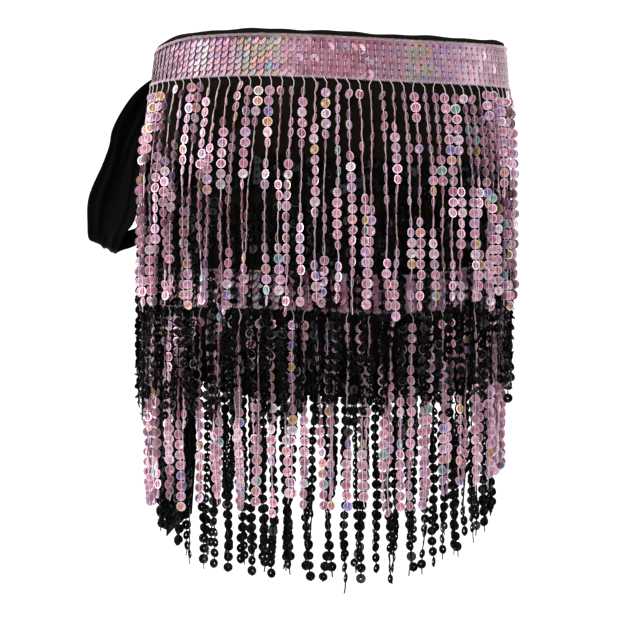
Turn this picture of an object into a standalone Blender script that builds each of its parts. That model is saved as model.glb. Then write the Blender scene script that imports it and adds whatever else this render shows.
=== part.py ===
"""A belly dance hip scarf, filled out as worn, with no wearer.

A black cloth panel wraps the hips under a cloth waistband, whose ends are tied at the left,
towards the back, in a bow with one loop. Four sequin bands are sewn round it, and a fringe hangs
from each of them. Metres, +Z up, the front faces -Y. The origin is the centre of the waist, halfway
up the waistband. Angles go round the waist from the front, in degrees, and grow towards +X, which is
the right of whoever looks at the front.
"""

import math
import random
from collections import namedtuple

import bmesh
import bpy
from mathutils import Vector

# The form that the cloth takes round a general figure: one row for each level. The weight is on the
# leg at -X, so that hip stands out further than the other.
Level = namedtuple("Level", "z left_width right_width half_depth")
FORM = (
    Level(0.018, 0.1380, 0.1380, 0.0990),
    Level(-0.018, 0.1425, 0.1405, 0.1040),
    Level(-0.050, 0.1460, 0.1412, 0.1090),
    Level(-0.100, 0.1490, 0.1412, 0.1140),
    Level(-0.150, 0.1475, 0.1395, 0.1130),
    Level(-0.196, 0.1440, 0.1345, 0.1085),
    Level(-0.235, 0.1375, 0.1300, 0.1025),
    Level(-0.262, 0.1320, 0.1260, 0.0985),
)
OVAL_POWER = 2.15  # 2 is an ellipse, and more is squarer
SEAT_TWIST = 0.0027  # how far the waist sits higher left of the centre front, and lower right of it

# Clearances and wall thicknesses
SEAM_GAP = 0.0003
CLOTH_IN, CLOTH_OUT = -0.0009, 0.0006
BELT_IN, BELT_OUT = -0.0010, 0.0010
BAND_THICKNESS = 0.0015
SASH_THICKNESS = 0.0016

# The waistband and the wrapped panel
BELT_TOP, BELT_BOTTOM = 0.018, -0.018
HEM = -0.2615
HEM_RISE = 0.020  # how much higher the hem is over each hip than at the front and back
WRAP_FRONT_END, SIDE_SEAM, WRAP_BACK_END = -112.0, 90.0, 236.0
BELT_FRONT_END, BELT_BACK_END = -113.0, 237.0
KNOT_PULL = 0.0080  # how far the knot pulls the waistband's top edge down
PULL_FRONT, PULL_BACK, PULL_WIDTH = -54.0, 190.0, 41.0  # where the pull begins, and how fast it grows
DEGREES_A_SEGMENT = 6
BELT_ROWS = 2
PANEL_ROWS = 10
BAND_ROWS = 2

# The bands and their fringes: one row for each tier, from the waist down.
Tier = namedtuple("Tier", "name top bottom start end length left_rise right_rise colour over")
TIERS = (
    Tier("1", 0.0135, BELT_BOTTOM, -80.0, 232.0, 0.178, 0.0, 0.0, "pink", BELT_OUT),
    Tier("2", -0.0790, -0.1070, -108.0, 232.0, 0.154, 0.0, 0.0, "black", CLOTH_OUT),
    Tier("3", -0.1680, -0.1960, -108.0, 232.0, 0.157, 0.004, 0.020, "pink", CLOTH_OUT),
    Tier("4", -0.2310, -0.2590, -108.0, 232.0, 0.140, HEM_RISE, HEM_RISE, "black", CLOTH_OUT),
)
STRANDS_A_TIER = 58
MEASURING_STEPS = 720  # how finely a band's length is measured, to space the strands
STRAND_WIDTH = 0.0050
STRAND_TIP_WIDTH = 0.0032
STRIP_HEIGHT = 0.003
STRAND_DRIFT = 0.0016  # how far a strand's foot may swing along the hem
STRAND_UNEVEN = 0.004
# Below its strip a strand swings out, to hang clear of the next band and its strands. A row gives
# how far below the band it turns, how far out it then is, and the level of the form that it follows.
Turn = namedtuple("Turn", "drop out level")
WIDEST_Z = -0.100
TURNS = {
    "1": (Turn(0.032, 0.0036, -0.050), Turn(0.082, 0.0048, WIDEST_Z)),
    "2": (Turn(0.030, 0.0022, WIDEST_Z),),
    "3": (Turn(0.015, 0.0030, -0.199), Turn(0.145, 0.0020, -0.212)),
    "4": (),
}
SIDE_SHORTENING = 0.022  # the lowest tier's strands are shorter over the hips

# The knot of the bow, an ellipsoid that closes the waistband
KNOT_ANGLE = -118.0
KNOT_OUT = 0.0085
KNOT_Z = -0.004
KNOT_HALF = Vector((0.0135, 0.0110, 0.0160))  # along the belt, outwards, up
KNOT_SEGMENTS, KNOT_RINGS = 14, 9

# The bow's loop, from the knot out and back. Each row gives both edges of the sash, and how far its
# middle bulges.
Sash = namedtuple("Sash", "left right bulge")
LOOP = (
    Sash((-0.130, 0.063, 0.004), (-0.131, 0.067, -0.012), 0.0000),
    Sash((-0.146, 0.056, -0.005), (-0.140, 0.060, -0.024), 0.0010),
    Sash((-0.160, 0.047, -0.018), (-0.143, 0.052, -0.044), 0.0030),
    Sash((-0.171, 0.040, -0.035), (-0.147, 0.044, -0.062), 0.0045),
    Sash((-0.177, 0.035, -0.049), (-0.151, 0.038, -0.079), 0.0050),
    Sash((-0.179, 0.032, -0.061), (-0.153, 0.034, -0.088), 0.0050),
    Sash((-0.184, 0.028, -0.076), (-0.155, 0.030, -0.098), 0.0050),
    Sash((-0.195, 0.024, -0.103), (-0.160, 0.025, -0.117), 0.0045),
    Sash((-0.196, 0.022, -0.126), (-0.166, 0.022, -0.134), 0.0030),
    Sash((-0.195, 0.025, -0.137), (-0.171, 0.025, -0.145), 0.0010),
    Sash((-0.189, 0.032, -0.139), (-0.174, 0.033, -0.149), 0.0000),
    Sash((-0.181, 0.038, -0.135), (-0.173, 0.040, -0.148), 0.0000),
    Sash((-0.170, 0.044, -0.131), (-0.170, 0.046, -0.146), 0.0010),
    Sash((-0.157, 0.051, -0.126), (-0.158, 0.053, -0.141), 0.0010),
    Sash((-0.153, 0.061, -0.112), (-0.141, 0.074, -0.126), 0.0010),
    Sash((-0.152, 0.062, -0.082), (-0.138, 0.077, -0.090), 0.0020),
    Sash((-0.148, 0.064, -0.047), (-0.137, 0.076, -0.052), 0.0020),
    Sash((-0.139, 0.065, -0.023), (-0.131, 0.073, -0.026), 0.0010),
    Sash((-0.128, 0.065, -0.011), (-0.125, 0.069, -0.012), 0.0000),
)

# The sash's tails lie over the fringes. Each row gives the angles of both edges, the left edge's
# height, how much higher the right edge is there, and how far out the tail lies. Below the form's
# widest level it hangs straight down.
Tail = namedtuple("Tail", "left right z slant out bulge")
LONG_TAIL = (
    Tail(-117.5, -120.0, -0.010, 0.000, 0.0085, 0.0000),
    Tail(-117.5, -121.0, -0.026, 0.000, 0.0115, 0.0000),
    Tail(-117.0, -126.0, -0.050, 0.000, 0.0100, 0.0010),
    Tail(-116.5, -129.5, -0.085, 0.000, 0.0078, 0.0020),
    Tail(-116.0, -131.0, -0.160, 0.000, 0.0078, 0.0020),
    Tail(-116.0, -131.5, -0.270, 0.010, 0.0078, 0.0020),
    Tail(-116.0, -131.5, -0.379, 0.028, 0.0078, 0.0020),
)
SHORT_TAIL = (
    Tail(-119.5, -122.0, -0.008, 0.000, 0.0085, 0.0000),
    Tail(-123.5, -127.5, -0.019, -0.002, 0.0105, 0.0000),
    Tail(-130.0, -139.0, -0.044, -0.004, 0.0100, 0.0010),
    Tail(-132.5, -146.0, -0.080, -0.004, 0.0085, 0.0015),
    Tail(-133.0, -148.0, -0.150, 0.000, 0.0078, 0.0015),
    Tail(-133.0, -148.0, -0.250, 0.020, 0.0078, 0.0015),
)
SAMPLES_A_ROW = 2
POINTS_ACROSS = 4
SHARP_ANGLE = math.radians(40)

Finish = namedtuple("Finish", "colour roughness metallic")
FINISHES = {
    "black_cloth": Finish((0.012, 0.011, 0.010, 1.0), 0.85, 0.0),
    "black_sash": Finish((0.011, 0.011, 0.012, 1.0), 0.60, 0.0),
    "pink_sequins": Finish((0.62, 0.26, 0.40, 1.0), 0.28, 0.4),
    "black_sequins": Finish((0.010, 0.010, 0.011, 1.0), 0.25, 0.0),
}


def clear_scene():
    for obj in list(bpy.data.objects):
        bpy.data.objects.remove(obj)


def material(name):
    """The named finish as a material, made once."""
    found = bpy.data.materials.get(name)
    if found:
        return found
    made = bpy.data.materials.new(name)
    made.use_nodes = True
    shader = made.node_tree.nodes["Principled BSDF"]
    finish = FINISHES[name]
    shader.inputs["Base Color"].default_value = finish.colour
    shader.inputs["Roughness"].default_value = finish.roughness
    shader.inputs["Metallic"].default_value = finish.metallic
    return made


def smooth_between(before, low, high, after, share):
    """A Catmull-Rom value from low to high."""
    slope_low, slope_high = (high - before) / 2, (after - low) / 2
    rest = 1 - share
    return (
        low * (1 + 2 * share) * rest**2
        + slope_low * share * rest**2
        + high * share**2 * (3 - 2 * share)
        - slope_high * share**2 * rest
    )


def form_half_sizes(z):
    """The form's width to the left, its width to the right and half its depth at a height."""
    z = min(max(z, FORM[-1].z), FORM[0].z)
    low = next(i for i in range(len(FORM) - 1) if z >= FORM[i + 1].z)
    rows = [FORM[min(max(low + step, 0), len(FORM) - 1)] for step in (-1, 0, 1, 2)]
    share = (rows[1].z - z) / (rows[1].z - rows[2].z)
    return [smooth_between(*[row[side] for row in rows], share) for side in (1, 2, 3)]


def at(angle, z, out, form_z=None):
    """The point at an angle and a height, out from the form's oval at that height or at form_z."""
    left_width, right_width, half_depth = form_half_sizes(z if form_z is None else form_z)
    turn = math.radians(angle)
    across, along = math.sin(turn), -math.cos(turn)
    half_width = right_width if across > 0 else left_width
    share = abs(across / half_width) ** OVAL_POWER + abs(along / half_depth) ** OVAL_POWER
    radius = share ** (-1 / OVAL_POWER)
    slope_x = math.copysign(abs(across) ** (OVAL_POWER - 1), across) / half_width**OVAL_POWER
    slope_y = math.copysign(abs(along) ** (OVAL_POWER - 1), along) / half_depth**OVAL_POWER
    outwards = Vector((slope_x, slope_y, 0)).normalized()
    lift = -SEAT_TWIST * math.sin(2 * turn)
    return Vector((radius * across, radius * along, z + lift)) + outwards * out


def over_hip(angle):
    """0 at the front and the back, and 1 over each hip."""
    return math.sin(math.radians(angle)) ** 4


def band_rise(tier, angle):
    side = tier.right_rise if math.sin(math.radians(angle)) > 0 else tier.left_rise
    return side * over_hip(angle)


def knot_pull(angle):
    """How far the waistband's top edge is pulled down at an angle: fully next to the knot."""
    share = min(max(PULL_FRONT - angle, angle - PULL_BACK, 0) / PULL_WIDTH, 1)
    return KNOT_PULL * share**2 * (3 - 2 * share)


def make_object(name, shape, finish, smooth=True):
    """Closes a bmesh into an object whose faces point outwards."""
    shape.normal_update()
    bmesh.ops.recalc_face_normals(shape, faces=shape.faces)
    mesh = bpy.data.meshes.new(name)
    shape.to_mesh(mesh)
    shape.free()
    if smooth:
        mesh.shade_smooth()
        mesh.set_sharp_from_angle(angle=SHARP_ANGLE)
    mesh.materials.append(material(finish))
    obj = bpy.data.objects.new(name, mesh)
    bpy.context.scene.collection.objects.link(obj)
    return obj


def loft(sections):
    """A bmesh through closed sections with the same number of points, capped at both ends."""
    shape = bmesh.new()
    rings = [[shape.verts.new(point) for point in section] for section in sections]
    for ring, following in zip(rings, rings[1:]):
        for i, corner in enumerate(ring):
            beside = (i + 1) % len(ring)
            shape.faces.new((corner, ring[beside], following[beside], following[i]))
    shape.faces.new(rings[0])
    shape.faces.new(reversed(rings[-1]))
    return shape


def steps(low, high, count):
    return [low + (high - low) * i / count for i in range(count + 1)]


def wall_section(angle, heights, inner, outer):
    """The outline of a cloth wall cut at one angle: down its outside, then up its inside."""
    outside = [at(angle, z, outer) for z in heights]
    inside = [at(angle, z, inner) for z in reversed(heights)]
    return outside + inside


def wall(name, finish, start, end, heights_at, inner, outer):
    """A cloth wall from one angle to another. heights_at gives its heights at an angle, from the top.

    All walls are cut at the same angles, so that one can lie close on another.
    """
    first = math.floor(start / DEGREES_A_SEGMENT) + 1
    last = math.ceil(end / DEGREES_A_SEGMENT) - 1
    angles = [start, *(DEGREES_A_SEGMENT * i for i in range(first, last + 1)), end]
    sections = [wall_section(angle, heights_at(angle), inner, outer) for angle in angles]
    return make_object(name, loft(sections), finish)


def panel_heights(angle):
    return steps(BELT_BOTTOM - SEAM_GAP, HEM + HEM_RISE * over_hip(angle), PANEL_ROWS)


def make_cloth():
    """The waistband, and the panel in two pieces that meet at the side seam."""

    def belt_heights(angle):
        return steps(BELT_TOP - knot_pull(angle), BELT_BOTTOM, BELT_ROWS)

    half_seam = math.degrees(SEAM_GAP / 2 / FORM[0].half_depth)
    reach = (BELT_FRONT_END, BELT_BACK_END)
    belt = wall("waistband", "black_cloth", *reach, belt_heights, BELT_IN, BELT_OUT)
    ends = {
        "panel_front": (WRAP_FRONT_END, SIDE_SEAM - half_seam),
        "panel_back": (SIDE_SEAM + half_seam, WRAP_BACK_END),
    }
    for name, (start, end) in ends.items():
        wall(name, "black_cloth", start, end, panel_heights, CLOTH_IN, CLOTH_OUT)
    return belt


def make_band(tier):
    """The strip of flat sequins that each fringe hangs from."""

    def heights(angle):
        rise = band_rise(tier, angle)
        pull = knot_pull(angle) if tier is TIERS[0] else 0
        return steps(tier.top + rise - pull, tier.bottom + rise, BAND_ROWS)

    inner = tier.over + SEAM_GAP
    name, finish = f"sequin_band_{tier.name}", f"{tier.colour}_sequins"
    wall(name, finish, tier.start, tier.end, heights, inner, inner + BAND_THICKNESS)


def strand_angles(tier):
    """Pairs of angles, the edges of each strand's root, spaced evenly along the band's length."""
    fine = steps(tier.start, tier.end, MEASURING_STEPS)
    points = [at(angle, tier.bottom, 0) for angle in fine]
    run = [0.0]
    for one, other in zip(points, points[1:]):
        run.append(run[-1] + (other - one).length)

    def angle_at(distance):
        i = next((k for k in range(1, len(run)) if run[k] >= distance), len(run) - 1)
        share = (distance - run[i - 1]) / (run[i] - run[i - 1])
        return fine[i - 1] + (fine[i] - fine[i - 1]) * share

    pitch = (run[-1] - STRAND_WIDTH) / (STRANDS_A_TIER - 1)
    starts = [pitch * i for i in range(STRANDS_A_TIER)]
    return [(angle_at(start), angle_at(start + STRAND_WIDTH)) for start in starts]


def strip_top(tier, angle):
    return tier.bottom + band_rise(tier, angle) - SEAM_GAP


def strand_length(tier, middle, chance):
    shortening = SIDE_SHORTENING * over_hip(middle) if tier is TIERS[-1] else 0
    return tier.length - STRIP_HEIGHT - shortening - chance.uniform(0, STRAND_UNEVEN)


def draw_strand(shape, root, tier, edges, chance):
    """Draws a strand down from the four corners of its root, in straight stretches."""
    middle = sum(edges) / 2
    top = strip_top(tier, middle) - STRIP_HEIGHT
    half = (edges[1] - edges[0]) / 2
    length = strand_length(tier, middle, chance)
    drift = math.degrees(chance.uniform(-STRAND_DRIFT, STRAND_DRIFT) / FORM[3].left_width)
    turns = TURNS[tier.name]
    stations = [(top + STRIP_HEIGHT - turn.drop, turn.out, turn.level, 0, half) for turn in turns]
    hang = stations[-1][1:3] if stations else (CLOTH_OUT + SEAM_GAP, top)
    stations.append((top - length, *hang, drift, half * STRAND_TIP_WIDTH / STRAND_WIDTH))
    ring = root
    for z, inner, level, swing, reach in stations:
        outer = inner + BAND_THICKNESS
        left, right = middle + swing - reach, middle + swing + reach
        corners = ((left, outer), (left, inner), (right, inner), (right, outer))
        following = [shape.verts.new(at(angle, z, out, level)) for angle, out in corners]
        for i, corner in enumerate(ring):
            beside = (i + 1) % 4
            shape.faces.new((corner, ring[beside], following[beside], following[i]))
        ring = following
    shape.faces.new(ring)


def root_ring(shape, tier, angle):
    """The root strip cut at one angle: top outside, bottom outside, bottom inside, top inside."""
    top = strip_top(tier, angle)
    inner = CLOTH_OUT + SEAM_GAP
    outer = inner + BAND_THICKNESS
    bottom = top - STRIP_HEIGHT
    corners = ((top, outer), (bottom, outer), (bottom, inner), (top, inner))
    return [shape.verts.new(at(angle, z, out)) for z, out in corners]


def make_fringe(tier):
    """A narrow strip along the band's lower edge, with every strand drawn down out of it."""
    chance = random.Random(int(tier.name))
    shape = bmesh.new()
    before = None
    for edges in strand_angles(tier):
        left, right = [root_ring(shape, tier, angle) for angle in edges]
        if before:
            for i in range(4):
                beside = (i + 1) % 4
                shape.faces.new((before[i], before[beside], left[beside], left[i]))
        else:
            shape.faces.new(left)
        for i in (0, 2, 3):
            beside = (i + 1) % 4
            shape.faces.new((left[i], left[beside], right[beside], right[i]))
        root = (left[1], left[2], right[2], right[1])
        draw_strand(shape, root, tier, edges, chance)
        before = right
    shape.faces.new(before)
    make_object(f"fringe_{tier.name}", shape, f"{tier.colour}_sequins", smooth=False)


def knot_frame():
    """The knot's centre, and its directions along the belt and outwards."""
    on_belt = at(KNOT_ANGLE, KNOT_Z, 0)
    outwards = (at(KNOT_ANGLE, KNOT_Z, 1) - on_belt).normalized()
    along = outwards.cross(Vector((0, 0, 1)))
    return on_belt + outwards * KNOT_OUT, along, outwards


def make_knot(name, grown):
    """The knot, or a copy that is larger all round by grown."""
    centre, along, outwards = knot_frame()
    shape = bmesh.new()
    bmesh.ops.create_uvsphere(shape, u_segments=KNOT_SEGMENTS, v_segments=KNOT_RINGS, radius=1)
    half = KNOT_HALF + Vector((grown, grown, grown))
    for vert in shape.verts:
        place = vert.co * half
        vert.co = centre + along * place.x + outwards * place.y + Vector((0, 0, place.z))
    return make_object(name, shape, "black_sash")


def cut(obj, cutter):
    modifier = obj.modifiers.new("clear_of_knot", "BOOLEAN")
    modifier.operation = "DIFFERENCE"
    modifier.object = cutter


def between_rows(rows, index, share):
    """Both edges and the bulge of a sash, between one row and the next."""
    near = [rows[min(max(index + step, 0), len(rows) - 1)] for step in (-1, 0, 1, 2)]

    def edge(side):
        return Vector([smooth_between(*[row[side][axis] for row in near], share) for axis in range(3)])

    return edge(0), edge(1), smooth_between(*[row.bulge for row in near], share)


def make_ribbon(name, rows):
    """A stretch of the sash, as a wall through its rows, with its middle bulged."""
    cuts = []
    for index in range(len(rows) - 1):
        cuts += [between_rows(rows, index, i / SAMPLES_A_ROW) for i in range(SAMPLES_A_ROW)]
    cuts.append(between_rows(rows, len(rows) - 2, 1))
    middles = [(left + right) / 2 for left, right, bulge in cuts]
    sections = []
    for i, (left, right, bulge) in enumerate(cuts):
        run = middles[min(i + 1, len(middles) - 1)] - middles[max(i - 1, 0)]
        normal = (right - left).cross(run).normalized()
        shares = steps(0, 1, POINTS_ACROSS - 1)
        line = [left.lerp(right, share) + normal * bulge * math.sin(math.pi * share) for share in shares]
        front = [point + normal * SASH_THICKNESS / 2 for point in line]
        back = [point - normal * SASH_THICKNESS / 2 for point in reversed(line)]
        sections.append(front + back)
    return make_object(name, loft(sections), "black_sash")


def hung(tail):
    """A tail's rows as the edges of a sash, following the form down to its widest level."""
    rows = []
    for row in tail:
        edges = []
        for angle, z in ((row.left, row.z), (row.right, row.z + row.slant)):
            edges.append(tuple(at(angle, z, row.out, max(z, WIDEST_Z))))
        rows.append(Sash(*edges, row.bulge))
    return rows


def make_bow(belt):
    make_knot("bow_knot", 0)
    cutter = make_knot("knot_clearance", SEAM_GAP)
    cutter.hide_render = True
    cutter.display_type = "WIRE"
    cut(belt, cutter)
    ribbons = {
        "bow_loop": LOOP,
        "bow_tail_long": hung(LONG_TAIL),
        "bow_tail_short": hung(SHORT_TAIL),
    }
    for name, rows in ribbons.items():
        cut(make_ribbon(name, rows), cutter)


def main():
    clear_scene()
    belt = make_cloth()
    for tier in TIERS:
        make_band(tier)
        make_fringe(tier)
    make_bow(belt)


main()
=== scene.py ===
# %% [markdown]
# # A sequin hip scarf, layer by layer
# A dancer's hip scarf is a black wrap with a waistband, tied at one side. Four sequin bands are sewn
# round it, and hundreds of short strings of sequins hang from them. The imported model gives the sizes,
# and this script gives the looks. Everything is in metres, +Z is up and the front faces -Y.

import math
from collections import namedtuple

import bmesh
import bpy
import numpy as np
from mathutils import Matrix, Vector


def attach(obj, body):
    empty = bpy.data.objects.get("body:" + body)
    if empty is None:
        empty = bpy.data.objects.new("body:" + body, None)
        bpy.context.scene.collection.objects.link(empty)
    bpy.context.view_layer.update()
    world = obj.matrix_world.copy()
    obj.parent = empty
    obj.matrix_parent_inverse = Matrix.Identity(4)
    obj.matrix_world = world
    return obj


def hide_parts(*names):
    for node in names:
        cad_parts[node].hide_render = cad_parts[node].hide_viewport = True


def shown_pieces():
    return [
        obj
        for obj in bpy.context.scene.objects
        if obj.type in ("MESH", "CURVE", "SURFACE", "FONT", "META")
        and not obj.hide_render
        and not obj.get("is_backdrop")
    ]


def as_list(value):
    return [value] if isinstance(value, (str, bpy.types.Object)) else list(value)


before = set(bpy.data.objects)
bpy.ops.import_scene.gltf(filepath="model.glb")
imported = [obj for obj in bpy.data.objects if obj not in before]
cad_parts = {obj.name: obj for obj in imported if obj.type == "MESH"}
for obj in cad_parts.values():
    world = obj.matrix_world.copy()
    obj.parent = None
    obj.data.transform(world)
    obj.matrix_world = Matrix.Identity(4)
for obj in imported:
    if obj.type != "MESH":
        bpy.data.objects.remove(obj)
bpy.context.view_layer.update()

# %% [markdown]
# ## Two small helpers
# Everything ends up as an object in the scene, and most shapes start as a bmesh, which is Blender's
# mesh for editing. These two functions do those steps wherever they are needed.

# %% Helpers


def put(name, data):
    """A new object in the scene, at the origin."""
    made = bpy.data.objects.new(name, data)
    bpy.context.scene.collection.objects.link(made)
    return made


def mesh_from(shape, name):
    """A finished bmesh as a mesh."""
    mesh = bpy.data.meshes.new(name)
    shape.to_mesh(mesh)
    shape.free()
    return mesh


# %% [markdown]
# ## The camera first
# The picture was taken level, from about two metres. A long lens is right for that distance, because
# a short one would swell the front of the scarf and bend the waistband more than it should.

# %% Camera
CAMERA_DISTANCE = 2.2
CAMERA_SIDE, CAMERA_HEIGHT = -0.008, -0.2028
VIEW_WIDTH = 0.512
SENSOR = 36.0

camera_data = bpy.data.cameras.new("camera")
camera_data.sensor_width = SENSOR
camera_data.lens = SENSOR * CAMERA_DISTANCE / VIEW_WIDTH
camera = put("camera", camera_data)
camera.location = (CAMERA_SIDE, -CAMERA_DISTANCE, CAMERA_HEIGHT)
camera.rotation_euler = (math.pi / 2, 0, 0)
bpy.context.scene.camera = camera
print("lens:", round(camera_data.lens, 1), "mm")

# %% [markdown]
# ## The form that the cloth follows
# Every layer lies on one smooth oval form, a little further out each time. So a single function gives
# any point from three numbers: the angle round the waist, the height, and how far out it lies. Angles
# start at the front and grow towards +X. A thing that hangs keeps the oval of the level it hangs from.

# %% The form as a table and a function
Level = namedtuple("Level", "z left_width right_width half_depth")
FORM = (
    Level(0.018, 0.1380, 0.1380, 0.0990),
    Level(-0.018, 0.1425, 0.1405, 0.1040),
    Level(-0.050, 0.1460, 0.1412, 0.1090),
    Level(-0.100, 0.1490, 0.1412, 0.1140),
    Level(-0.150, 0.1475, 0.1395, 0.1130),
    Level(-0.196, 0.1440, 0.1345, 0.1085),
    Level(-0.235, 0.1375, 0.1300, 0.1025),
    Level(-0.262, 0.1320, 0.1260, 0.0985),
)
OVAL_POWER = 2.15
SEAT_TWIST = 0.0027
WIDEST_Z = -0.100
FORM_SAMPLES = 24


def smooth_between(before, low, high, after, share):
    """A Catmull-Rom value from low to high."""
    slope_low, slope_high = (high - before) / 2, (after - low) / 2
    rest = 1 - share
    return (
        low * (1 + 2 * share) * rest**2
        + slope_low * share * rest**2
        + high * share**2 * (3 - 2 * share)
        - slope_high * share**2 * rest
    )


def smooth_table(rows, samples):
    """The rows of a table with smooth values between them."""
    rows = np.array(rows, float)
    padded = np.vstack([rows[:1], rows, rows[-1:]])
    shares = np.arange(samples)[:, None] / samples
    made = [smooth_between(*padded[i : i + 4], shares) for i in range(len(rows) - 1)]
    return np.vstack([*made, rows[-1:]])


fine_form = smooth_table(FORM, FORM_SAMPLES)[::-1]


def outwards_at(angle, level):
    """The radius of the oval and its outward direction, for arrays of angles and levels."""
    left, right, half_depth = [np.interp(level, fine_form[:, 0], fine_form[:, side]) for side in (1, 2, 3)]
    turn = np.radians(angle)
    x, y = np.sin(turn), -np.cos(turn)
    half_width = np.where(x > 0, right, left)
    oval = (np.abs(x) / half_width) ** OVAL_POWER + (np.abs(y) / half_depth) ** OVAL_POWER
    radius = oval ** (-1 / OVAL_POWER)
    slope_x = np.sign(x) * np.abs(x) ** (OVAL_POWER - 1) / half_width**OVAL_POWER
    slope_y = np.sign(y) * np.abs(y) ** (OVAL_POWER - 1) / half_depth**OVAL_POWER
    size = np.hypot(slope_x, slope_y)
    return radius, slope_x / size, slope_y / size


def place(angle, z, out, level=None):
    """Points on the form: arrays of angles in degrees, heights and distances out, in metres."""
    angle, z, out = np.broadcast_arrays(*[np.asarray(value, float) for value in (angle, z, out)])
    radius, along_x, along_y = outwards_at(angle, z if level is None else np.broadcast_to(level, z.shape))
    turn = np.radians(angle)
    lift = -SEAT_TWIST * np.sin(2 * turn)
    x = radius * np.sin(turn) + along_x * out
    y = -radius * np.cos(turn) + along_y * out
    return np.stack([x, y, z + lift], -1)


def over_hip(angle):
    """0 at the front and the back, and 1 over each hip."""
    return np.sin(np.radians(angle)) ** 4


KNOT_PULL = 0.0080
PULL_FRONT, PULL_BACK, PULL_WIDTH = -54.0, 190.0, 41.0


def knot_pull(angle):
    """How far the knot pulls the waistband's top edge down at an angle."""
    share = np.clip(np.maximum(PULL_FRONT - angle, angle - PULL_BACK) / PULL_WIDTH, 0, 1)
    return KNOT_PULL * share**2 * (3 - 2 * share)


print("front of the hips:", np.round(place(0, WIDEST_Z, 0), 4))

# %% [markdown]
# ## Materials are built from small parts
# Each finish is a Principled shader with a few nodes before it. These helpers only save typing. They
# add a node, do a sum, mix two colours, make a soft step, or start a material. Values that are the
# same all over stay on the shader's sockets.

# %% Material helpers


def add_node(tree, kind, **values):
    """A node, with its properties and unlinked inputs set by name."""
    made = tree.nodes.new(kind)
    for name, value in values.items():
        if hasattr(made, name):
            setattr(made, name, value)
        else:
            made.inputs[name.replace("_", " ")].default_value = value
    return made


def maths(tree, operation, first, second=None, third=None):
    """A Math node on sockets or plain numbers, and its output."""
    made = tree.nodes.new("ShaderNodeMath")
    made.operation = operation
    for slot, value in zip(made.inputs, (first, second, third)):
        if isinstance(value, bpy.types.NodeSocket):
            tree.links.new(value, slot)
        elif value is not None:
            slot.default_value = value
    return made.outputs[0]


def mix_colours(tree, share, first, second, blend="MIX"):
    """A colour Mix node on sockets or plain colours, and its output."""
    made = tree.nodes.new("ShaderNodeMix")
    made.data_type = "RGBA"
    made.blend_type = blend
    made.clamp_factor = True
    for index, value in ((0, share), (6, first), (7, second)):
        if isinstance(value, bpy.types.NodeSocket):
            tree.links.new(value, made.inputs[index])
        else:
            made.inputs[index].default_value = value
    return made.outputs[2]


def smooth_step(tree, value, low, high):
    """A value taken smoothly from 0 at low to 1 at high."""
    made = add_node(
        tree, "ShaderNodeMapRange", interpolation_type="SMOOTHSTEP", From_Min=low, From_Max=high
    )
    tree.links.new(value, made.inputs["Value"])
    return made.outputs[0]


def new_material(name, **sockets):
    """A Principled material with its constant sockets set, and its tree and shader."""
    made = bpy.data.materials.new(name)
    made.use_nodes = True
    shader = made.node_tree.nodes["Principled BSDF"]
    for socket, value in sockets.items():
        shader.inputs[socket.replace("_", " ")].default_value = value
    return made, made.node_tree, shader


# %% [markdown]
# ## What a sequin's face shows
# A cup sequin is stamped from thin holographic film, with a hole in the middle, pressed facets round
# it and a flat rim that catches the light. The facets are real geometry, but the finer pressed lines are
# too small for that. Their light and dark wedges are painted shading, drawn here from the sequin's own
# UV map, in one node group that both colours share. It also gives the places for a painted highlight on
# the rim and a painted shadow round the hole.
# The flat sequins of a band lie like scales, so the group also finds the narrow crescents beside the
# edges of the next scales. Shadow gathers there where the scales stand up. How far they do is stored
# with each sequin, in the alpha of its colour.

# %% The sequin face as a node group
FACETS = 10
SCALE_ABOVE, SCALE_LEFT = (0, 1.18, 0), (-1.46, 0, 0)  # the next scales' middles, in sequin radii
SHADE_REACH = 0.24
RIM_STARTS, RIM_FULL = 0.76, 0.84  # in sequin radii, as the next two are
RING_WIDTH = 0.06
HALVES_BLEND = 0.2


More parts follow.
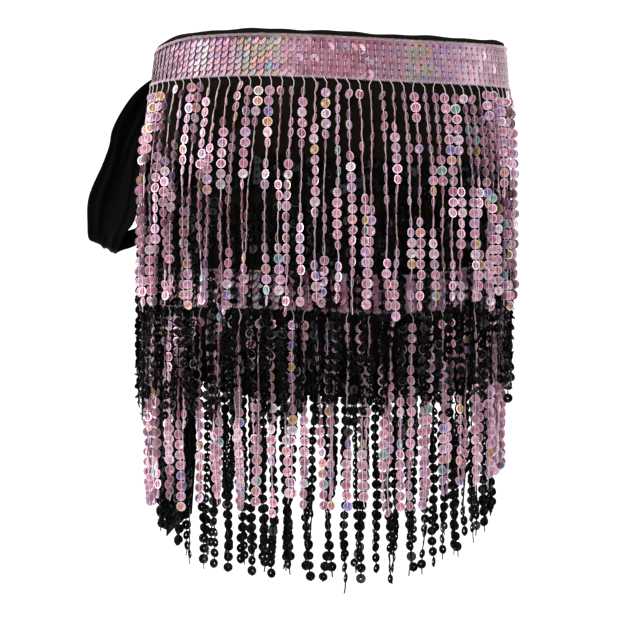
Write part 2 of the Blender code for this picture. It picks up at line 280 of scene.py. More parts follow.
def make_sequin_face():
    """Outputs Rim, 1 on the flat rim, where a highlight is painted, Press, light and dark pressed wedges
    of painted shading, Ring, 1 round the hole, where a shadow is painted, Half, from 0 to 1 across the
    sequin, and Shade, 1 at the edges of the next scales, where a shadow is painted."""
    tree = bpy.data.node_groups.new("sequin_face", "ShaderNodeTree")
    tree.interface.new_socket(name="Ring Radius", in_out="INPUT", socket_type="NodeSocketFloat")
    for name in ("Rim", "Press", "Ring", "Half", "Shade"):
        tree.interface.new_socket(name=name, in_out="OUTPUT", socket_type="NodeSocketFloat")
    uv = add_node(tree, "ShaderNodeUVMap", uv_map="UVMap")
    centred = add_node(tree, "ShaderNodeVectorMath", operation="MULTIPLY_ADD")
    centred.inputs[1].default_value = (2, 2, 0)
    centred.inputs[2].default_value = (-1, -1, 0)
    tree.links.new(uv.outputs[0], centred.inputs[0])
    length = add_node(tree, "ShaderNodeVectorMath", operation="LENGTH")
    tree.links.new(centred.outputs[0], length.inputs[0])
    radius = length.outputs["Value"]
    parts = add_node(tree, "ShaderNodeSeparateXYZ")
    tree.links.new(centred.outputs[0], parts.inputs[0])
    turn = maths(tree, "ARCTAN2", parts.outputs[1], parts.outputs[0])
    wave = maths(tree, "SINE", maths(tree, "MULTIPLY", turn, float(FACETS)))
    press = maths(tree, "MULTIPLY_ADD", wave, 0.5, 0.5)
    start = tree.nodes.new("NodeGroupInput")
    shades = []
    for middle in (SCALE_ABOVE, SCALE_LEFT):
        away = add_node(tree, "ShaderNodeVectorMath", operation="DISTANCE")
        away.inputs[1].default_value = middle
        tree.links.new(centred.outputs[0], away.inputs[0])
        shades.append(smooth_step(tree, away.outputs["Value"], 1 + SHADE_REACH, 1))
    found = {
        "Rim": smooth_step(tree, radius, RIM_STARTS, RIM_FULL),
        "Press": press,
        "Ring": maths(tree, "COMPARE", radius, start.outputs["Ring Radius"], RING_WIDTH),
        "Half": smooth_step(tree, parts.outputs[0], -HALVES_BLEND, HALVES_BLEND),
        "Shade": maths(tree, "MAXIMUM", *shades),
    }
    output = tree.nodes.new("NodeGroupOutput")
    for name, value in found.items():
        tree.links.new(value, output.inputs[name])
    return tree


sequin_face = make_sequin_face()


def film_material(name, rim_highlight_colour, rim_highlight_share, pressed_facet_shade, painted_shadow_colour, ring_radius, hole_shadow_share, **sockets):
    """Sequin film: each sequin's own two colours, darker in the pressed wedges as painted shading, lighter
    on the rim as a painted highlight, with painted shadow round the hole and in the scales' crescents.
    """
    made, tree, shader = new_material(name, **sockets)
    film = add_node(tree, "ShaderNodeAttribute", attribute_name="film")
    other_film = add_node(tree, "ShaderNodeAttribute", attribute_name="other_film")
    face = tree.nodes.new("ShaderNodeGroup")
    face.node_tree = sequin_face
    face.inputs["Ring Radius"].default_value = ring_radius
    halves = mix_colours(tree, face.outputs["Half"], film.outputs["Color"], other_film.outputs["Color"])
    # Painted shading: the pressed wedges are darkened, as facets turned from the light would be
    pressed = mix_colours(tree, face.outputs["Press"], halves, pressed_facet_shade, "MULTIPLY")
    colour = pressed
    # Painted light: a shadow round the hole, a highlight on the rim, and shadow in the scales' crescents
    for part, share, over in (
        ("Ring", hole_shadow_share, painted_shadow_colour),
        ("Rim", rim_highlight_share, rim_highlight_colour),
        ("Shade", film.outputs["Alpha"], painted_shadow_colour),
    ):
        colour = mix_colours(tree, maths(tree, "MULTIPLY", face.outputs[part], share), colour, over)
    tree.links.new(colour, shader.inputs["Base Color"])
    return made


# Painted light: the rim colours are a painted highlight, the ring colours a painted shadow round the hole and
# in the scales' crescents
PINK_RIM_HIGHLIGHT, PINK_PAINTED_SHADOW = (0.96, 0.78, 0.86, 1), (0.10, 0.03, 0.06, 1)
BLACK_RIM_HIGHLIGHT, BLACK_PAINTED_SHADOW = (0.006, 0.006, 0.0065, 1), (0.001, 0.001, 0.001, 1)
film_materials = {
    "cup_pink": film_material(
        "pink_cup_film", PINK_RIM_HIGHLIGHT, 0.60, (0.54, 0.43, 0.48, 1), PINK_PAINTED_SHADOW, 0.30, 0.5,
        Metallic=0.30, Roughness=0.34, Coat_Weight=0.2, Coat_Roughness=0.12,
    ),
    "flat_pink": film_material(
        "pink_flat_film", PINK_RIM_HIGHLIGHT, 0.12, (0.70, 0.60, 0.65, 1), PINK_PAINTED_SHADOW, 0.22, 0.9,
        Metallic=0.25, Roughness=0.40, Coat_Weight=0.1, Coat_Roughness=0.20,
    ),
    "cup_black": film_material(
        "black_cup_film", BLACK_RIM_HIGHLIGHT, 0.5, (0.6, 0.6, 0.6, 1), BLACK_PAINTED_SHADOW, 0.30, 0.5,
        Metallic=0.0, Roughness=0.12, Specular_IOR_Level=0.10,
    ),
    "flat_black": film_material(
        "black_flat_film", BLACK_RIM_HIGHLIGHT, 0.3, (0.6, 0.6, 0.6, 1), BLACK_PAINTED_SHADOW, 0.15, 0.5,
        Metallic=0.0, Roughness=0.16, Specular_IOR_Level=0.08,
    ),
}
print("films:", *film_materials)

# %% [markdown]
# ## Cloth and thread
# The wrap is a dull stretch cloth, almost black, with a fine knit that only shows close up. The sash
# is smoother. Both have a little sheen, which lightens them where they turn away from the eye. A bump
# from two crossed waves makes the knit, in Object coordinates so that it stays on the cloth.

# %% Cloth and thread materials
KNIT_PITCH = 0.0011
KNIT_DEPTH = 0.0002
KNIT_SCALE = 1 / KNIT_PITCH / 20 * math.pi  # a wave texture has 20 radians a metre at scale 1
CLOTH_SHINE, THREAD_ROUGHNESS = 0.03, 0.6
BLOTCH, FIBRE = (35.0, 3.0), (900.0, 1.0)  # a noise's scale and detail: for cloth, for thread


def mottle(tree, shader, scale, detail, first, second):
    """A base colour that wanders between two, and the Object coordinates that it follows."""
    coordinates = add_node(tree, "ShaderNodeTexCoord").outputs["Object"]
    noise = add_node(tree, "ShaderNodeTexNoise", Scale=scale, Detail=detail)
    tree.links.new(coordinates, noise.inputs["Vector"])
    tree.links.new(mix_colours(tree, noise.outputs["Fac"], first, second), shader.inputs["Base Color"])
    return coordinates


def cloth_material(name, colour, lighter, roughness, sheen, knit_strength):
    made, tree, shader = new_material(
        name, Roughness=roughness, Sheen_Weight=sheen, Sheen_Roughness=0.5,
        Specular_IOR_Level=CLOTH_SHINE,
    )
    coordinates = mottle(tree, shader, *BLOTCH, colour, lighter)
    waves = []
    for direction in ("Z", "X"):
        wave = add_node(tree, "ShaderNodeTexWave", bands_direction=direction, Scale=KNIT_SCALE)
        tree.links.new(coordinates, wave.inputs["Vector"])
        waves.append(wave.outputs["Fac"])
    bump = add_node(tree, "ShaderNodeBump", Strength=knit_strength, Distance=KNIT_DEPTH)
    tree.links.new(maths(tree, "ADD", *waves), bump.inputs["Height"])
    tree.links.new(bump.outputs["Normal"], shader.inputs["Normal"])
    return made


def thread_material(name, colour, darker, shine):
    made, tree, shader = new_material(name, Roughness=THREAD_ROUGHNESS, Specular_IOR_Level=shine)
    mottle(tree, shader, *FIBRE, colour, darker)
    return made


wrap_cloth = cloth_material(
    "wrap_cloth", (0.0070, 0.0056, 0.0036, 1), (0.0105, 0.0084, 0.0056, 1), 0.95, 0.003, 0.25
)
sash_cloth = cloth_material(
    "sash_cloth", (0.0016, 0.0016, 0.0017, 1), (0.0030, 0.0030, 0.0032, 1), 0.55, 0.012, 0.10
)
thread_materials = {
    "pink": thread_material("pink_thread", (0.94, 0.78, 0.82, 1), (0.78, 0.60, 0.66, 1), 0.15),
    "black": thread_material("black_thread", (0.004, 0.004, 0.0045, 1), (0.010, 0.010, 0.011, 1), 0.0),
}
print("cloths and threads: 4 materials")

# %% [markdown]
# ## Cloth from wrapped grids
# A flat grid is easy to make and has clean faces. Each of its points is then moved to its place on
# the form, as a maker wraps a flat panel round a dress form. A Solidify modifier gives the thickness.
# Creases are soft troughs with a place, depth, width and length of their own, because evenly spaced
# folds look like corrugated card.

# %% Cloth helpers
Crease = namedtuple("Crease", "across width depth start end lean")
CREASE_FADE = 0.7  # under 1, a crease keeps its depth nearly to its ends


def crease_depth(across, down, creases):
    """How far the cloth dips, for arrays of places across and down it, both from 0 to 1."""
    total = np.zeros_like(across)
    for crease in creases:
        share = np.clip((down - crease.start) / (crease.end - crease.start), 0, 1)
        middle = crease.across + crease.lean * (share - 0.5)
        fade = np.sin(np.pi * share) ** CREASE_FADE
        total += crease.depth * fade * np.exp(-(((across - middle) / crease.width) ** 2))
    return total


def add_object(name, mesh, material):
    """Puts a finished mesh in the scene as a piece that rides on the one body."""
    mesh.materials.clear()
    mesh.materials.append(material)
    made = put(name, mesh)
    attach(made, "root")
    return made


def cloth_grid(name, cells_across, cells_down, shape, material, thickness):
    """A grid whose points shape(across, down) moves into place, shares from 0 to 1, made a thin cloth."""
    sheet = bmesh.new()
    bmesh.ops.create_grid(sheet, x_segments=cells_across, y_segments=cells_down, size=0.5)
    flat = np.array([vert.co for vert in sheet.verts])
    for vert, point in zip(sheet.verts, shape(flat[:, 0] + 0.5, 0.5 - flat[:, 1])):
        vert.co = point
    mesh = mesh_from(sheet, name)
    mesh.shade_smooth()
    made = add_object(name, mesh, material)
    solid = made.modifiers.new("thickness", "SOLIDIFY")
    solid.thickness = thickness
    solid.offset = 0
    return made


CUT_SAMPLES = 161


def length_of(points):
    return float(np.linalg.norm(np.diff(points, axis=0), axis=1).sum())


def cut_of(shape):
    """The width, length and area that a cloth was cut to, measured along its own surface."""
    run = np.linspace(0, 1, CUT_SAMPLES)
    across, down = np.meshgrid(run, run)
    points = shape(across.ravel(), down.ravel()).reshape(*across.shape, 3)
    width = max(length_of(row) for row in points)
    length = max(length_of(points[:, column]) for column in range(len(run)))
    sides = np.cross(np.diff(points, axis=1)[:-1], np.diff(points, axis=0)[:, :-1])
    return width, length, float(np.linalg.norm(sides, axis=-1).sum())


# %% [markdown]
# ## The panel and the waistband
# The panel is cut in a front and a back that meet at the side seam, and it is open under the bow. The
# waistband is a folded strip, so its section is a narrow upside-down U with a soft top edge. That edge
# is the black line that shows above the top band of sequins.

# %% Panel and waistband
BELT_TOP, BELT_BOTTOM = 0.018, -0.018
HEM, HEM_RISE = -0.2615, 0.020
WRAP_FRONT_END, SIDE_SEAM, WRAP_BACK_END = -112.0, 90.0, 236.0
BELT_FRONT_END, BELT_BACK_END = -113.0, 237.0
SEAM_ANGLE = 0.1
CLOTH_THICKNESS = 0.0009
DEGREES_A_CELL, PANEL_CELLS_DOWN = 1.6, 48
PANEL_CREASES = (
    Crease(0.07, 0.020, 0.0016, 0.02, 0.30, 0.03),
    Crease(0.19, 0.012, 0.0011, 0.05, 0.45, -0.02),
    Crease(0.33, 0.024, 0.0018, 0.00, 0.38, 0.04),
    Crease(0.46, 0.010, 0.0010, 0.20, 0.90, 0.01),
    Crease(0.58, 0.018, 0.0014, 0.03, 0.26, -0.03),
    Crease(0.71, 0.014, 0.0017, 0.10, 0.62, 0.02),
    Crease(0.84, 0.022, 0.0012, 0.00, 0.33, -0.04),
    Crease(0.95, 0.012, 0.0015, 0.30, 1.00, 0.01),
)


def panel_shape(start, end):
    def shape(across, down):
        angle = start + (end - start) * across
        bottom = HEM + HEM_RISE * over_hip(angle)
        z = BELT_BOTTOM + (bottom - BELT_BOTTOM) * down
        return place(angle, z, -crease_depth(across, down, PANEL_CREASES))

    return shape


sheets = []
for name, start, end in (
    ("panel_front", WRAP_FRONT_END, SIDE_SEAM - SEAM_ANGLE),
    ("panel_back", SIDE_SEAM + SEAM_ANGLE, WRAP_BACK_END),
):
    shape = panel_shape(start, end)
    cells = round((end - start) / DEGREES_A_CELL)
    panel = cloth_grid(
        f"cloth_{name}", cells, PANEL_CELLS_DOWN, shape, wrap_cloth, CLOTH_THICKNESS
    )
    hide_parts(name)
    sheets.append((panel, "hung", ["waistband"], cut_of(shape)))
    print(panel.name, "cut about %.3f by %.3f m" % sheets[-1][3][:2])

BELT_DIPS = ((0.04, 0.0005), (0.16, 0.0003), (0.31, 0.0006), (0.52, 0.0004), (0.77, 0.0007), (0.94, 0.0005))
BELT_CREASES = tuple(Crease(across, 0.006, depth, 0.05, 0.95, 0.01) for across, depth in BELT_DIPS)
BELT_WAVES = ((0.00045, 61, 0.0), (0.0003, 143, 1.0))  # the top edge's height, radians and start
BELT_IN = 0.0004
BELT_THICKNESS, BELT_CELLS_ALONG, BELT_CELLS_DOWN = 0.0007, 260, 20
BELT_FOLD = 0.0012  # half the distance between the folded strip's two layers
BELT_ROUND = 0.10  # the share of the strip's width that the folded edge takes up


def belt_shape(across, down):
    """Down is 0 at the inside bottom edge, half at the fold on top, and 1 at the outside bottom edge."""
    angle = BELT_FRONT_END + (BELT_BACK_END - BELT_FRONT_END) * across
    side = np.clip((down - 0.5) / BELT_ROUND, -1, 1)
    turn = side * np.pi / 2
    drop = np.clip((np.abs(down - 0.5) - BELT_ROUND) / (0.5 - BELT_ROUND), 0, 1)
    top = BELT_TOP - knot_pull(angle)
    z = top - BELT_FOLD * (1 - np.cos(turn)) - drop * (top - BELT_FOLD - BELT_BOTTOM)
    wave = sum(height * np.sin(across * radians + start) for height, radians, start in BELT_WAVES)
    out = BELT_FOLD * np.sin(turn) - crease_depth(across, np.full_like(down, 0.5), BELT_CREASES)
    return place(angle, z + wave * (1 - drop), out - BELT_IN)


belt = cloth_grid(
    "cloth_waistband", BELT_CELLS_ALONG, BELT_CELLS_DOWN, belt_shape, wrap_cloth,
    BELT_THICKNESS,
)
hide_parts("waistband")
sheets.append((belt, "folded", ["bow_knot"], cut_of(belt_shape)))
print("waistband cut about %.3f by %.3f m" % sheets[-1][3][:2])

# %% [markdown]
# ## The sash
# The ends of the waistband are tied in a bow with one loop. A table gives both edges of the sash at a
# few places along it, and a smooth curve runs through them. Across the sash a few long soft troughs
# make it look like cloth that was pulled through a knot.

# %% Sash loop and tails
Sash = namedtuple("Sash", "left right bulge")
LOOP = (
    Sash((-0.130, 0.063, 0.004), (-0.131, 0.067, -0.012), 0.0000),
    Sash((-0.146, 0.056, -0.005), (-0.140, 0.060, -0.024), 0.0010),
    Sash((-0.160, 0.047, -0.018), (-0.143, 0.052, -0.044), 0.0030),
    Sash((-0.171, 0.040, -0.035), (-0.147, 0.044, -0.062), 0.0045),
    Sash((-0.177, 0.035, -0.049), (-0.151, 0.038, -0.079), 0.0050),
    Sash((-0.179, 0.032, -0.061), (-0.153, 0.034, -0.088), 0.0050),
    Sash((-0.184, 0.028, -0.076), (-0.154, 0.030, -0.099), 0.0050),
    Sash((-0.195, 0.024, -0.103), (-0.158, 0.025, -0.122), 0.0045),
    Sash((-0.196, 0.022, -0.126), (-0.166, 0.022, -0.134), 0.0030),
    Sash((-0.195, 0.025, -0.137), (-0.171, 0.025, -0.145), 0.0010),
    Sash((-0.189, 0.032, -0.139), (-0.174, 0.033, -0.149), 0.0000),
    Sash((-0.181, 0.038, -0.135), (-0.173, 0.040, -0.148), 0.0000),
    Sash((-0.170, 0.044, -0.131), (-0.170, 0.046, -0.146), 0.0010),
    Sash((-0.157, 0.051, -0.126), (-0.158, 0.053, -0.141), 0.0010),
    Sash((-0.153, 0.061, -0.112), (-0.141, 0.074, -0.126), 0.0010),
    Sash((-0.152, 0.062, -0.082), (-0.138, 0.077, -0.090), 0.0020),
    Sash((-0.148, 0.064, -0.047), (-0.137, 0.076, -0.052), 0.0020),
    Sash((-0.139, 0.065, -0.023), (-0.131, 0.073, -0.026), 0.0010),
    Sash((-0.128, 0.065, -0.011), (-0.125, 0.069, -0.012), 0.0000),
)
Tail = namedtuple("Tail", "left right z slant out bulge")
LONG_TAIL = (
    Tail(-117.5, -120.0, -0.010, 0.000, 0.0085, 0.0000),
    Tail(-117.5, -121.0, -0.026, 0.000, 0.0115, 0.0000),
    Tail(-117.0, -126.0, -0.050, 0.000, 0.0100, 0.0010),
    Tail(-116.5, -129.5, -0.085, 0.000, 0.0078, 0.0020),
    Tail(-116.0, -131.0, -0.160, 0.000, 0.0078, 0.0020),
    Tail(-116.0, -129.5, -0.270, 0.008, 0.0078, 0.0020),
    Tail(-116.0, -126.5, -0.379, 0.018, 0.0078, 0.0020),
)
SHORT_TAIL = (
    Tail(-119.5, -122.0, -0.008, 0.000, 0.0085, 0.0000),
    Tail(-123.5, -127.5, -0.019, -0.002, 0.0105, 0.0000),
    Tail(-130.0, -139.0, -0.044, -0.004, 0.0100, 0.0010),
    Tail(-132.5, -146.0, -0.080, -0.004, 0.0085, 0.0015),
    Tail(-133.0, -148.0, -0.150, 0.000, 0.0078, 0.0015),
    Tail(-133.0, -148.0, -0.250, 0.020, 0.0078, 0.0015),
)
LOOP_CREASES = (
    Crease(0.20, 0.06, 0.0030, 0.00, 0.50, 0.20),
    Crease(0.52, 0.05, 0.0016, 0.00, 0.30, -0.10),
    Crease(0.72, 0.08, 0.0020, 0.10, 0.60, 0.12),
    Crease(0.40, 0.06, 0.0018, 0.45, 0.80, -0.15),
    Crease(0.60, 0.06, 0.0018, 0.65, 1.00, 0.10),
)
TAIL_CREASES = (
    Crease(0.30, 0.08, 0.0020, 0.00, 0.55, 0.10),
    Crease(0.62, 0.06, 0.0016, 0.00, 0.35, -0.08),
    Crease(0.50, 0.10, 0.0014, 0.40, 1.00, 0.15),
)
ROW_SAMPLES = 8
SASH_CELLS_ACROSS, SASH_THICKNESS = 20, 0.0008
UNDER_LAST_ROW = 1.000001  # keeps every point below the last row, so that a next one exists


def hung(tail):
    """A tail's rows as the edges of a sash, following the form down to its widest level."""
    rows = []
    for row in tail:
        edges = []
        for angle, z in ((row.left, row.z), (row.right, row.z + row.slant)):
            edges.append(place(angle, z, row.out, max(z, WIDEST_Z)))
        rows.append(Sash(*edges, row.bulge))
    return rows


def sash_shape(rows, creases):
    """The shape function of a sash for cloth_grid: across runs between its edges, down along it."""
    table = [[*row.left, *row.right, row.bulge] for row in rows]
    fine = smooth_table(table, ROW_SAMPLES)
    left, right, bulge = fine[:, :3], fine[:, 3:6], fine[:, 6:]
    run = np.gradient((left + right) / 2, axis=0)
    normal = np.cross(right - left, run)
    normal /= np.linalg.norm(normal, axis=1, keepdims=True)

    def shape(across, down):
        row = np.clip(down * (len(fine) - 1), 0, len(fine) - UNDER_LAST_ROW)
        low = row.astype(int)
        share = (row - low)[:, None]

        def between(values):
            return values[low] * (1 - share) + values[low + 1] * share

        flat = between(left) * (1 - across[:, None]) + between(right) * across[:, None]
        swell = between(bulge)[:, 0] * np.sin(np.pi * across) - crease_depth(across, down, creases)
        return flat + between(normal) * swell[:, None]

    return shape, len(fine) - 1


for name, rows, creases in (
    ("bow_loop", LOOP, LOOP_CREASES),
    ("bow_tail_long", hung(LONG_TAIL), TAIL_CREASES),
    ("bow_tail_short", hung(SHORT_TAIL), TAIL_CREASES),
):
    shape, cells = sash_shape(rows, creases)
    sash = cloth_grid(
        f"cloth_{name}", SASH_CELLS_ACROSS, cells, shape, sash_cloth, SASH_THICKNESS
    )
    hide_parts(name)
    sheets.append((sash, "hung", ["bow_knot"], cut_of(shape)))
    print(sash.name, "cut about %.3f by %.3f m" % sheets[-1][3][:2])

# %% [markdown]
# ## The knot
# A knot in a sash is a pinched bundle of folds. A sphere is squeezed to the knot's size, and round
# ridges with sharp valleys lean round it, as the turns of the cloth do. Both fade at the poles, where
# the cloth runs into the knot, so nothing is pinched there.

# %% Knot
KNOT_ANGLE, KNOT_OUT, KNOT_Z = -118.0, 0.0085, -0.004
KNOT_HALF = (0.0135, 0.0110, 0.0160)
KNOT_FOLDS = 5
KNOT_LEAN = 2.4  # how far the folds turn round the knot, in radians from its middle to a pole
VALLEY, SMALL_FOLD = 0.20, 0.025  # as shares of the knot's width
KNOT_SWELL, FOLD_UNEVEN, VALLEY_SHARPNESS = 1.04, 0.4, 2.5
KNOT_WAIST, WAIST_REACH = 0.12, 0.22
KNOT_CELLS_ROUND, KNOT_CELLS_UP = 90, 48


def make_knot():
    on_belt = Vector(place(KNOT_ANGLE, KNOT_Z, 0))
    outwards = (Vector(place(KNOT_ANGLE, KNOT_Z, 0.1)) - on_belt).normalized()
    along = outwards.cross(Vector((0, 0, 1)))
    centre = on_belt + outwards * KNOT_OUT
    ball = bmesh.new()
    bmesh.ops.create_uvsphere(ball, u_segments=KNOT_CELLS_ROUND, v_segments=KNOT_CELLS_UP, radius=1)
    for vert in ball.verts:
        x, y, z = vert.co
        turn = math.atan2(y, x) + KNOT_LEAN * z
        fold = abs(math.sin(turn * KNOT_FOLDS / 2 + FOLD_UNEVEN * math.sin(turn)))
        valley = (1 - fold) ** VALLEY_SHARPNESS
        small = math.sin(turn * KNOT_FOLDS * 2 + 3 * z)
        ridge = KNOT_SWELL - (VALLEY * valley + SMALL_FOLD * small) * (1 - z * z)
        waist = 1 - KNOT_WAIST * math.exp(-((z / WAIST_REACH) ** 2))
        size = [half * ridge * waist for half in KNOT_HALF[:2]] + [KNOT_HALF[2]]
        vert.co = centre + along * x * size[0] + outwards * y * size[1] + Vector((0, 0, z * size[2]))
    mesh = mesh_from(ball, "cloth_bow_knot")
    mesh.shade_smooth()
    return add_object("cloth_bow_knot", mesh, sash_cloth)


knot = make_knot()
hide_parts("bow_knot")
print("knot:", len(knot.data.polygons), "faces")

# %% [markdown]
# ## One sequin, modelled once
# Thousands of sequins need a cheap model. A ring of edges is extruded outwards: hole, cup, flat brim.
# The facets stay flat, because each one should catch the light at its own angle. The UV map holds the
# place on the disc, which the material needs to draw the rim and the pressed lines.

# %% Sequin templates
CUP_RADIUS, CUP_HOLE, CUP_DEPTH = 0.00385, 0.0006, 0.0007
FLAT_RADIUS, FLAT_HOLE = 0.0041, 0.0008
FLAT_SIDES = 12
CUP_RINGS = ((0.42, 0.20), (0.80, 1.0), (1.0, 0.96))  # each ring's share of the radius and of the depth
THREAD_GAP = 0.0002


def make_sequin(name, radius, hole, depth, sides, material):
    """A sequin in the XY plane with its cup open to +Z, and the thread in front of its centre."""
    disc = bmesh.new()
    bmesh.ops.create_circle(disc, segments=sides, radius=hole)
    edges = disc.edges[:]
    for size, share in CUP_RINGS if depth else ((1.0, 1.0),):
        grown = bmesh.ops.extrude_edge_only(disc, edges=edges)["geom"]
        verts = [item for item in grown if isinstance(item, bmesh.types.BMVert)]
        edges = [item for item in grown if isinstance(item, bmesh.types.BMEdge)]
        grow = radius * size / verts[0].co.xy.length
        bmesh.ops.scale(disc, vec=(grow, grow, 1), verts=verts)
        for vert in verts:
            vert.co.z = depth * share
    bmesh.ops.translate(disc, vec=(0, 0, -depth - THREAD_GAP), verts=disc.verts)
    uv = disc.loops.layers.uv.new("UVMap")
    for face in disc.faces:
        for loop in face.loops:
            loop[uv].uv = loop.vert.co.xy / radius * 0.5 + Vector((0.5, 0.5))
    bmesh.ops.recalc_face_normals(disc, faces=disc.faces)
    if sum(face.normal.z for face in disc.faces) < 0:
        bmesh.ops.reverse_faces(disc, faces=disc.faces)
    mesh = mesh_from(disc, name)
    mesh.materials.append(material)
    return put(name, mesh)


KINDS = {"cup": (CUP_RADIUS, CUP_HOLE, CUP_DEPTH, FACETS), "flat": (FLAT_RADIUS, FLAT_HOLE, 0, FLAT_SIDES)}
templates = {}
for colour in ("pink", "black"):
    for kind, measures in KINDS.items():
        name = f"{kind}_{colour}"
        templates[kind, colour] = make_sequin(name, *measures, film_materials[name])
print("faces of a cup sequin:", len(templates["cup", "pink"].data.polygons))

# %% [markdown]
# ## Sewing sequins on with Geometry Nodes
# Every sequin has a place, a turn, a size and a colour of its own. They are stored as attributes of
# the points of a mesh that has no faces, and a small node group puts a copy of the template on each
# point. Realizing the instances makes one ordinary mesh, which keeps the colours as an attribute.

# %% The sewing node group


def make_sewing_group(template):
    tree = bpy.data.node_groups.new("sew_" + template.name, "GeometryNodeTree")
    tree.interface.new_socket(name="Geometry", in_out="INPUT", socket_type="NodeSocketGeometry")
    tree.interface.new_socket(name="Geometry", in_out="OUTPUT", socket_type="NodeSocketGeometry")
    start, end = tree.nodes.new("NodeGroupInput"), tree.nodes.new("NodeGroupOutput")
    sequin = tree.nodes.new("GeometryNodeObjectInfo")
    sequin.inputs["Object"].default_value = template
    sew = tree.nodes.new("GeometryNodeInstanceOnPoints")
    for attribute, socket in (("turn", "Rotation"), ("size", "Scale")):
        stored = add_node(tree, "GeometryNodeInputNamedAttribute", data_type="FLOAT_VECTOR")
        stored.inputs["Name"].default_value = attribute
        tree.links.new(stored.outputs[0], sew.inputs[socket])
    realize = tree.nodes.new("GeometryNodeRealizeInstances")
    tree.links.new(start.outputs[0], sew.inputs["Points"])
    tree.links.new(sequin.outputs["Geometry"], sew.inputs["Instance"])
    tree.links.new(sew.outputs[0], realize.inputs[0])
    tree.links.new(realize.outputs[0], end.inputs[0])
    return tree


sewing = {key: make_sewing_group(template) for key, template in templates.items()}


def turns_of(x_axis, y_axis, z_axis):
    """Euler angles of frames that are given by their axes, for arrays of axes."""
    pitch = np.arcsin(np.clip(-x_axis[:, 2], -1, 1))
    roll = np.arctan2(y_axis[:, 2], z_axis[:, 2])
    yaw = np.arctan2(x_axis[:, 1], x_axis[:, 0])
    return np.stack([roll, pitch, yaw], -1)


def sew_on(name, kind, colour, points, turns, sizes, films, other_films, shades):
    """One joined mesh with a sequin at each point. Shades say how dark its neighbours' shadow is."""
    mesh = bpy.data.meshes.new(name + "_points")
    mesh.vertices.add(len(points))
    mesh.vertices.foreach_set("co", points.astype(np.float32).ravel())
    for attribute, data_type, values, field in (
        ("turn", "FLOAT_VECTOR", turns, "vector"),
        ("size", "FLOAT_VECTOR", np.repeat(sizes[:, None], 3, 1), "vector"),
        ("film", "FLOAT_COLOR", np.hstack([films, shades[:, None]]), "color"),
        ("other_film", "FLOAT_COLOR", np.hstack([other_films, np.ones((len(films), 1))]), "color"),
    ):
        made = mesh.attributes.new(attribute, data_type, "POINT")
        made.data.foreach_set(field, values.astype(np.float32).ravel())
    holder = put(name + "_points", mesh)
    holder.modifiers.new("sew", "NODES").node_group = sewing[kind, colour]
    ready = holder.evaluated_get(bpy.context.evaluated_depsgraph_get())
    sewn = bpy.data.meshes.new_from_object(ready)
    sewn.name = name
    for attribute in ("turn", "size"):
        if attribute in sewn.attributes:
            sewn.attributes.remove(sewn.attributes[attribute])
    bpy.data.objects.remove(holder)
    bpy.data.meshes.remove(mesh)
    return add_object(name, sewn, templates[kind, colour].data.materials[0])


print("sewing groups:", len(sewing))

# %% [markdown]
# ## Threads
# A thread is a curve with a tiny section. All the threads of one tier share one curve object with
# many splines, which then becomes a mesh. Four sides are enough, because even the thickest thread is
# only about a millimetre across.

# %% Thread helper
THREAD_RADIUS = {"pink": 0.00033, "black": 0.00055}
BAND_THREAD_RADIUS = 0.00020


def make_threads(name, paths, material, radius):
    """One mesh of thin tubes along the given paths."""
    curve = bpy.data.curves.new(name, "CURVE")
    curve.dimensions = "3D"
    curve.bevel_depth = radius
    curve.bevel_resolution = 0
    curve.use_fill_caps = True
    for path in paths:
        spline = curve.splines.new("POLY")
        spline.points.add(len(path) - 1)
        weighted = np.hstack([path, np.ones((len(path), 1))])
        spline.points.foreach_set("co", weighted.astype(np.float32).ravel())
    holder = put(name, curve)
    mesh = bpy.data.meshes.new_from_object(holder.evaluated_get(bpy.context.evaluated_depsgraph_get()))
    bpy.data.objects.remove(holder)
    bpy.data.curves.remove(curve)
    mesh.name = name
    mesh.shade_smooth()
    return add_object(name, mesh, material)


# %% [markdown]
# ## Colours of the film
# Pink holographic film isn't one pink. Most sequins are a dusty rose, some lean to lilac or to pale
# pink, and a few flash gold, teal or silver. A palette holds each colour with its share, and a seeded
# random draw picks one for each sequin and shades it a little.

# %% Film palettes
PINK_FILMS = (
    (0.29, (0.78, 0.35, 0.49)),
    (0.20, (0.84, 0.47, 0.62)),
    (0.13, (0.58, 0.22, 0.34)),
    (0.13, (0.66, 0.41, 0.66)),
    (0.11, (0.93, 0.72, 0.80)),
    (0.05, (0.80, 0.39, 0.33)),
    (0.035, (0.66, 0.42, 0.12)),
    (0.02, (0.30, 0.26, 0.62)),
    (0.02, (0.22, 0.50, 0.50)),
    (0.015, (0.70, 0.66, 0.55)),
)
# The rare grey black film is a painted glint, the others are the black's own tones
BLACK_FILMS_AND_GLINTS = ((0.80, (0.0020, 0.0020, 0.0023)), (0.16, (0.006, 0.006, 0.007)), (0.04, (0.07, 0.07, 0.08)))
PALETTES = {"pink": PINK_FILMS, "black": BLACK_FILMS_AND_GLINTS}
SHADED, HALF_SHADED = (0.82, 1.18), (0.86, 1.14)  # from the darkest to the lightest
OTHER_HALF = {"flat": 0.06, "cup": 0.20}  # the share of sequins whose halves differ in colour


def draw_films(colour, count, chance):
    """A film colour for each sequin."""
    palette = PALETTES[colour]
    weights = np.array([share for share, film in palette])
    films = np.array([film for share, film in palette])
    picked = films[chance.choice(len(palette), count, p=weights / weights.sum())]
    return np.clip(picked * chance.uniform(*SHADED, (count, 1)), 0, 1)


def second_films(films, colour, share, chance):
    """The colour of each sequin's other half: nearly the same, and quite another on a few."""
    others = films * chance.uniform(*HALF_SHADED, films.shape)
    changed = chance.random(len(films)) < share
    others[changed] = draw_films(colour, changed.sum(), chance)
    return np.clip(others, 0, 1)


# %% [markdown]
# ## Four tiers, one table
# Each tier is a band of flat sequins with strings of cup sequins below it. The tiers differ only in
# numbers, so a table holds those, and the same functions make all four.

